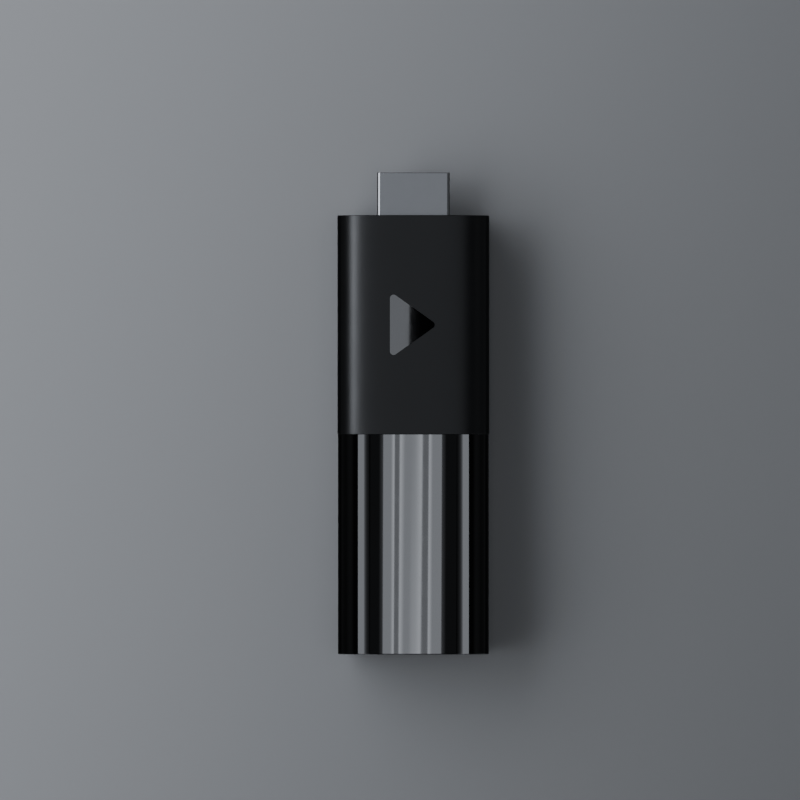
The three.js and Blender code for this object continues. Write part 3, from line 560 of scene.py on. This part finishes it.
def light_pipe():
    """A clear pin with a flange behind the wall and a slightly domed face, turned about X."""
    inner = LIGHT_LO.x
    outer = LIGHT_HI.x
    flange_radius = (LIGHT_HI.z - LIGHT_LO.z) / 2
    profile = [
        (inner, flange_radius - FLANGE_EDGE),
        (inner + FLANGE_EDGE, flange_radius),
        (inner + FLANGE_LENGTH - FLANGE_EDGE, flange_radius),
        (inner + FLANGE_LENGTH, flange_radius - FLANGE_EDGE),
        (inner + FLANGE_LENGTH, LIGHT_RADIUS),
    ]
    for angle in arc(LIGHT_DOME_STEPS)[:-1]:
        radius = LIGHT_RADIUS * math.cos(angle) ** LIGHT_DOME_POWER
        profile.append((outer - LIGHT_DOME * (1 - math.sin(angle)), radius))
    middle_y = (LIGHT_LO.y + LIGHT_HI.y) / 2
    middle_z = (LIGHT_LO.z + LIGHT_HI.z) / 2
    turns = [2 * math.pi * j / ROUND_STEPS for j in range(ROUND_STEPS)]
    rings = [
        [Vector((x, middle_y + r * math.cos(t), middle_z + r * math.sin(t))) for t in turns]
        for x, r in profile
    ]
    piece = loft("light_pipe_pin", rings)
    smooth(piece, SHEET_SHARP_DEGREES)
    return piece


# ---------------------------------------------------------------- materials


def new_material(name, **sockets):
    """A material with the given values on its shader's own sockets, and its tree and shader."""
    material = bpy.data.materials.new(name)
    material.use_nodes = True
    tree = material.node_tree
    shader = tree.nodes["Principled BSDF"]
    for socket, value in sockets.items():
        shader.inputs[socket.replace("_", " ")].default_value = value
    return material, tree, shader


def node(tree, kind, **settings):
    made = tree.nodes.new(kind)
    for key, value in settings.items():
        if key in made.inputs:
            made.inputs[key].default_value = value
        else:
            setattr(made, key, value)
    return made


def object_noise(tree, scale, detail=2.0, stretch=(1.0, 1.0, 1.0)):
    """Noise in the piece's own space, with so many cells to a metre."""
    place = node(tree, "ShaderNodeTexCoord")
    mapping = node(tree, "ShaderNodeMapping")
    mapping.inputs["Scale"].default_value = stretch
    noise = node(tree, "ShaderNodeTexNoise", Scale=scale, Detail=detail)
    tree.links.new(place.outputs["Object"], mapping.inputs["Vector"])
    tree.links.new(mapping.outputs["Vector"], noise.inputs["Vector"])
    return noise


def vary(tree, noise, socket, low, high):
    """Sends a noise to a shader socket as a value between two limits."""
    spread = node(tree, "ShaderNodeMapRange")
    spread.inputs["From Min"].default_value = NOISE_LOW
    spread.inputs["From Max"].default_value = NOISE_HIGH
    spread.inputs["To Min"].default_value = low
    spread.inputs["To Max"].default_value = high
    tree.links.new(noise.outputs["Fac"], spread.inputs["Value"])
    tree.links.new(spread.outputs["Result"], socket)


def tint(tree, noise, socket, dark, light):
    """Sends a noise to a colour socket as a blend of two colours."""
    ramp = node(tree, "ShaderNodeValToRGB")
    ramp.color_ramp.elements[0].position = NOISE_LOW
    ramp.color_ramp.elements[0].color = (*dark, 1.0)
    ramp.color_ramp.elements[1].position = NOISE_HIGH
    ramp.color_ramp.elements[1].color = (*light, 1.0)
    tree.links.new(noise.outputs["Fac"], ramp.inputs["Fac"])
    tree.links.new(ramp.outputs["Color"], socket)


def bump(tree, shader, layers):
    """Stacks noises as bumps: each layer is (noise, height in metres)."""
    before = None
    for noise, height in layers:
        layer = node(tree, "ShaderNodeBump", Strength=1.0, Distance=height)
        tree.links.new(noise.outputs["Fac"], layer.inputs["Height"])
        if before:
            tree.links.new(before.outputs["Normal"], layer.inputs["Normal"])
        before = layer
    tree.links.new(before.outputs["Normal"], shader.inputs["Normal"])


def matte_plastic():
    """Satin black plastic with the fine grain of a spark-eroded mould."""
    material, tree, shader = new_material("matte_shell_plastic", IOR=1.54)
    grain = object_noise(tree, 9000, 3.0)
    colour = shader.inputs["Base Color"]
    tint(tree, object_noise(tree, 120, 3.0), colour, (0.0040, 0.0044, 0.0053), (0.0050, 0.0055, 0.0065))
    vary(tree, object_noise(tree, 200, 1.0), shader.inputs["Roughness"], 0.28, 0.30)
    bump(tree, shader, [(grain, 0.0006 * MM)])
    return material


def gloss_plastic():
    """Piano black plastic: a mirror with the faint waviness of a polished moulding."""
    material, tree, shader = new_material("gloss_shell_plastic", IOR=1.49, Roughness=0.03)
    tint(tree, object_noise(tree, 60), shader.inputs["Base Color"], *PIANO_BLACK)
    vary(tree, object_noise(tree, 400, 4.0), shader.inputs["Roughness"], 0.022, 0.04)
    bump(tree, shader, [(object_noise(tree, 90, 1.0, (1.0, 0.25, 1.0)), 0.0012 * MM)])
    return material


def mark_gloss():
    """The mark's plate: the same black, a little less polished."""
    material, tree, shader = new_material("mark_gloss", IOR=1.49)
    tint(tree, object_noise(tree, 90), shader.inputs["Base Color"], *PIANO_BLACK)
    vary(tree, object_noise(tree, 500, 3.0), shader.inputs["Roughness"], 0.03, 0.045)
    return material


def plated_steel(name, dark, light, roughness, grain_along, grain_height=0.0005):
    """Plated or brushed metal, its grain running one way. The grain's height is in millimetres."""
    material, tree, shader = new_material(name, Metallic=1.0)
    stretch = tuple(0.04 if axis == grain_along else 1.0 for axis in "xyz")
    grain = object_noise(tree, 7000, 3.0, stretch)
    tint(tree, object_noise(tree, 500, 4.0), shader.inputs["Base Color"], dark, light)
    vary(tree, grain, shader.inputs["Roughness"], roughness - 0.03, roughness + 0.03)
    bump(tree, shader, [(grain, grain_height * MM)])
    return material


def moulded(name, dark, light, roughness, grain_scale=6000, grain_height=0.002):
    """A moulded or coated surface, its colour between two tones. The grain's height is in millimetres."""
    material, tree, shader = new_material(name)
    tint(tree, object_noise(tree, 700, 4.0), shader.inputs["Base Color"], dark, light)
    vary(tree, object_noise(tree, 900, 3.0), shader.inputs["Roughness"], roughness - 0.05, roughness + 0.05)
    bump(tree, shader, [(object_noise(tree, grain_scale, 3.0), grain_height * MM)])
    return material


def clear_plastic():
    """The status light's pipe: cloudy clear plastic."""
    material, tree, shader = new_material("light_pipe_plastic", IOR=1.49, Transmission_Weight=0.6)
    tint(tree, object_noise(tree, 2500), shader.inputs["Base Color"], (0.62, 0.64, 0.66), (0.74, 0.76, 0.78))
    vary(tree, object_noise(tree, 3000), shader.inputs["Roughness"], 0.16, 0.24)
    return material


def floor_material():
    material, tree, shader = new_material("floor_paint", Roughness=0.9)
    shader.inputs["Specular IOR Level"].default_value = 0.2
    tint(tree, object_noise(tree, 3.0, 2.0), shader.inputs["Base Color"], *FLOOR_GREY)
    return material


# ---------------------------------------------------------------- lights, floor, world, camera


def softbox(name, at, aim, size, radiance, spin=0.0):
    """A rectangular softbox, hidden from the camera. With no aim it faces down, turned by its spin."""
    lamp = bpy.data.lights.new(name, "AREA")
    lamp.shape = "RECTANGLE"
    lamp.size, lamp.size_y = size
    lamp.energy = radiance * math.pi * size[0] * size[1]
    lamp.color = LAMP_TINT
    box = bpy.data.objects.new(name, lamp)
    box.location = at
    if aim is None:
        box.rotation_euler = (0.0, 0.0, spin)
    else:
        box.rotation_euler = (Vector(aim) - Vector(at)).to_track_quat("-Z", "Y").to_euler()
    bpy.context.scene.collection.objects.link(box)
    box.visible_camera = False
    return box


def set_stops(ramp, stops, colour=(1.0, 1.0, 1.0)):
    """Gives a colour ramp its stops, each (place, level), with the levels in one colour."""
    red, green, blue = colour
    elements = ramp.color_ramp.elements
    for i, (position, level) in enumerate(stops):
        element = elements[i] if i < 2 else elements.new(position)
        element.position = position
        element.color = (level * red, level * green, level * blue, 1.0)


def softbox_bands(box, axis, stops):
    """Gives a softbox bands across its width (X) or its height (Y): stops are (place from 0 to 1, level)."""
    box.data.use_nodes = True
    tree = box.data.node_tree
    place = tree.nodes.new("ShaderNodeNewGeometry")
    split = tree.nodes.new("ShaderNodeSeparateXYZ")
    ramp = tree.nodes.new("ShaderNodeValToRGB")
    tree.links.new(place.outputs["Parametric"], split.inputs["Vector"])
    tree.links.new(split.outputs[axis], ramp.inputs["Fac"])
    tree.links.new(ramp.outputs["Color"], tree.nodes["Emission"].inputs["Color"])
    set_stops(ramp, stops)


def link_light(box, pieces, state):
    """Lights only these pieces, or all but these: the state is INCLUDE or EXCLUDE."""
    group = bpy.data.collections.new(box.name + "_pieces")
    for piece in pieces:
        group.objects.link(piece)
    box.light_linking.receiver_collection = group
    for member in group.collection_objects:
        member.light_linking.link_state = state


def mirrored_softbox(name, at, aim, size, radiance, pieces, state, spin=0.0):
    """A softbox that only shows as a reflection, in the pieces that it is linked to."""
    box = softbox(name, at, aim, size, radiance, spin)
    box.visible_diffuse = False
    box.visible_transmission = False
    if pieces:
        link_light(box, pieces, state)
    return box


def ceiling_bands():
    """The ceiling panel's light, left to right, as (place across the panel, level).

    It is a bright field with soft ends, crossed by dark bars that have a glowing rim on each side."""
    left, right = PANEL_ENDS
    edge = BAR_WIDTH / 2
    bands = [(-PANEL_REACH, SPILL_FAR), (left - PANEL_SPILL, SPILL_FAR), (left - PANEL_FADE, SPILL_NEAR)]
    bands.append((left, FIELD_LEVEL))
    for middle in PANEL_BARS:
        bands += [(middle - edge - away, level) for away, level in reversed(BAR_RIM)]
        bands += [(middle + edge + away, level) for away, level in BAR_RIM]
    bands.append((right, FIELD_LEVEL))
    bands += [(right + PANEL_FADE, SPILL_NEAR), (right + PANEL_SPILL, SPILL_FAR), (PANEL_REACH, SPILL_FAR)]
    return [(0.5 + slope / (2 * PANEL_REACH), level) for slope, level in bands]


def build_lights(matte, gloss, mark):
    black_pieces = [matte, gloss, mark]

    key = softbox("key_softbox", KEY_AT, KEY_AIM, KEY_SIZE, KEY_RADIANCE)
    key.data.spread = math.radians(KEY_SPREAD)
    link_light(key, black_pieces, "EXCLUDE")

    fill = softbox("room_fill", FILL_AT, (0, 0, 0), FILL_SIZE, FILL_RADIANCE)
    fill.visible_glossy = False

    at = MATTE_CEILING_AT
    radiance = MATTE_CEILING_RADIANCE
    mirrored_softbox("ceiling_sheen", at, None, CEILING_SIZE, radiance, [matte], "INCLUDE")
    at = METAL_CEILING_AT
    radiance = METAL_CEILING_RADIANCE
    mirrored_softbox("metal_overhead", at, None, CEILING_SIZE, radiance, black_pieces, "EXCLUDE")

    tilt = math.radians(SHEEN_TILT)
    at = (-SHEEN_DISTANCE * math.sin(tilt), SHEEN_Y, SHEEN_DISTANCE * math.cos(tilt))
    aim = (0.0, SHEEN_Y, 0.0)
    mirrored_softbox("sheen_strip", at, aim, SHEEN_SIZE, SHEEN_RADIANCE, [matte], "INCLUDE")

    at = (0.0, PANEL_Y, PANEL_HEIGHT)
    size = (2 * PANEL_REACH * PANEL_HEIGHT, PANEL_LENGTH)
    spin = math.radians(PANEL_SPIN)
    panel = mirrored_softbox("ceiling_panel", at, None, size, PANEL_RADIANCE, [gloss], "INCLUDE", spin)
    softbox_bands(panel, "X", ceiling_bands())

    tilt = math.radians(STRIP_TILT)
    for name, sideways in (("strip_left", -1), ("strip_right", 1)):
        at = (sideways * math.sin(tilt), 0.0, math.cos(tilt))
        strip = mirrored_softbox(name, at, (0, 0, 0), STRIP_SIZE, STRIP_RADIANCE, [gloss], "INCLUDE")
        softbox_bands(strip, "Y", STRIP_BANDS)

    spin = math.radians(MARK_PANEL_SPIN)
    mirrored_softbox(
        "mark_panel", MARK_PANEL_AT, None, MARK_PANEL_SIZE, MARK_PANEL_RADIANCE, [mark], "INCLUDE", spin)

    for name, aside in SIDE_BOXES:
        at = SIDE_BOX_DISTANCE * Vector(aside)
        side_box = mirrored_softbox(name, at, (0, 0, 0), SIDE_BOX_SIZE, SIDE_BOX_RADIANCE, None, None)
        softbox_bands(side_box, "Y", SIDE_BOX_BANDS)


def ramp_of(tree, source, stops):
    """A colour ramp over a value from 0 to 1: stops are (place, level)."""
    ramp = tree.nodes.new("ShaderNodeValToRGB")
    set_stops(ramp, stops, WORLD_TINT)
    tree.links.new(source, ramp.inputs["Fac"])
    return ramp.outputs["Color"]


def build_world():
    """A dim studio: grey walls beyond both ends of the stick, and dark flags beside it."""
    world = bpy.data.worlds.new("studio")
    world.use_nodes = True
    tree = world.node_tree
    place = tree.nodes.new("ShaderNodeTexCoord")
    split = tree.nodes.new("ShaderNodeSeparateXYZ")
    tree.links.new(place.outputs["Generated"], split.inputs["Vector"])

    def remapped(source, low, high):
        spread = node(tree, "ShaderNodeMapRange")
        spread.inputs["From Min"].default_value = low
        spread.inputs["From Max"].default_value = high
        tree.links.new(source, spread.inputs["Value"])
        return spread.outputs["Result"]

    lengthwise = node(tree, "ShaderNodeMath", operation="ABSOLUTE")
    tree.links.new(split.outputs["Y"], lengthwise.inputs[0])
    endwise = remapped(lengthwise.outputs["Value"], *WALL_BEGINS)
    upwards = remapped(split.outputs["Z"], -1.0, 1.0)
    flags = ramp_of(tree, upwards, FLAG_LEVELS)
    walls = ramp_of(tree, upwards, WALL_LEVELS)
    mix = node(tree, "ShaderNodeMix", data_type="RGBA")
    tree.links.new(endwise, mix.inputs["Factor"])
    # The node's sockets repeat their names for each kind of data: these are the colour ones.
    tree.links.new(flags, mix.inputs[6])
    tree.links.new(walls, mix.inputs[7])
    tree.links.new(mix.outputs[2], tree.nodes["Background"].inputs["Color"])
    bpy.context.scene.world = world


def build_floor():
    corners = [(x, y, 0.0) for x, y in box_corners(2 * FLOOR_HALF, 2 * FLOOR_HALF)]
    floor = mesh_piece("floor", corners, [(0, 1, 2, 3)])
    floor.data.materials.append(floor_material())
    floor.visible_glossy = False


def build_camera():
    lens = bpy.data.cameras.new("camera")
    lens.sensor_width = SENSOR
    lens.lens = SENSOR * CAMERA_HEIGHT / FIELD
    lens.clip_end = CAMERA_SEES
    camera = bpy.data.objects.new("camera", lens)
    camera.location = (CAMERA_AT[0], CAMERA_AT[1], MID_Z + CAMERA_HEIGHT)
    bpy.context.scene.collection.objects.link(camera)
    bpy.context.scene.camera = camera


# ---------------------------------------------------------------- assembly


def paint(piece, material):
    piece.data.materials.clear()
    piece.data.materials.append(material)


def stand_in(piece, cad_node, material):
    """Puts a fine piece in a CAD node's place."""
    paint(piece, material)
    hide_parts(cad_node)
    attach(piece, "root")


def finish_node(name, material, bevel_width):
    """Gives a CAD node eased edges and its material."""
    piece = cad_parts[name]
    paint(piece, material)
    step = piece.modifiers.new("eased_edges", "BEVEL")
    step.width = bevel_width
    step.segments = EASED_STEPS
    step.limit_method = "ANGLE"
    step.angle_limit = math.radians(EASED_DEGREES)


build_camera()
build_floor()
build_world()

nickel = plated_steel("nickel_plate", (0.508, 0.516, 0.530), (0.520, 0.528, 0.542), 0.19, "y", 0.00015)
tin = plated_steel("tin_plate", (0.56, 0.56, 0.57), (0.64, 0.64, 0.65), 0.34, "x")
aluminium = plated_steel("brushed_aluminium", (0.62, 0.63, 0.65), (0.70, 0.71, 0.73), 0.32, "y")
gold = plated_steel("gold_flash", (0.76, 0.53, 0.22), (0.86, 0.63, 0.29), 0.22, "y")
zinc = plated_steel("zinc_plate", (0.44, 0.44, 0.46), (0.52, 0.52, 0.54), 0.30, "x")
insulator = moulded("insulator_moulding", (0.014, 0.014, 0.015), (0.020, 0.020, 0.021), 0.5)
solder_mask = moulded("solder_mask", (0.008, 0.045, 0.026), (0.014, 0.066, 0.038), 0.32, 2500, 0.004)
resin = moulded("chip_resin", (0.022, 0.022, 0.024), (0.034, 0.034, 0.036), 0.55)
silicone = moulded("thermal_silicone", (0.24, 0.27, 0.31), (0.32, 0.35, 0.40), 0.85, 3000, 0.006)
ceramic = moulded("fired_ceramic", (0.36, 0.27, 0.18), (0.46, 0.35, 0.24), 0.45)
clear = clear_plastic()

front = front_casing()
rear = rear_casing()
mark = mark_inlay()
plug = plug_shell()
stand_in(front, "front_casing", matte_plastic())
stand_in(rear, "rear_casing", gloss_plastic())
stand_in(mark, "mark_inlay", mark_gloss())
stand_in(plug, "hdmi_plug_shell", nickel)
stand_in(inlet_shell(), "micro_usb_shell", nickel)
stand_in(light_pipe(), "light_pipe", clear)

BLOCK_FINISHES = {
    "processor": resin,
    "memory_chip_1": resin,
    "memory_chip_2": resin,
    "flash_chip": resin,
    "power_chip": resin,
    "inductor_1": resin,
    "inductor_2": resin,
    "wireless_module": tin,
    "clock_crystal": tin,
    "capacitor_1": ceramic,
    "capacitor_2": ceramic,
    "status_led": clear,
    "main_board": solder_mask,
    "thermal_pad_processor": silicone,
    "thermal_pad_above": silicone,
    "thermal_pad_below": silicone,
    "heat_spreader_above": aluminium,
    "heat_spreader_below": aluminium,
}
SHEET_FINISHES = {
    "shield_frame_above": tin,
    "shield_lid_above": tin,
    "shield_can_below": tin,
    "aerial_rear": tin,
    "aerial_side": tin,
    "spreader_screw_1": zinc,
    "spreader_screw_2": zinc,
    "hdmi_plug_insulator": insulator,
    "micro_usb_tongue": insulator,
}
for name, material in BLOCK_FINISHES.items():
    finish_node(name, material, BLOCK_EDGE)
for name, material in SHEET_FINISHES.items():
    finish_node(name, material, SHEET_EDGE)
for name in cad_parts:
    if "_contact_" in name:
        finish_node(name, gold, SHEET_EDGE)

build_lights(front, rear, mark)
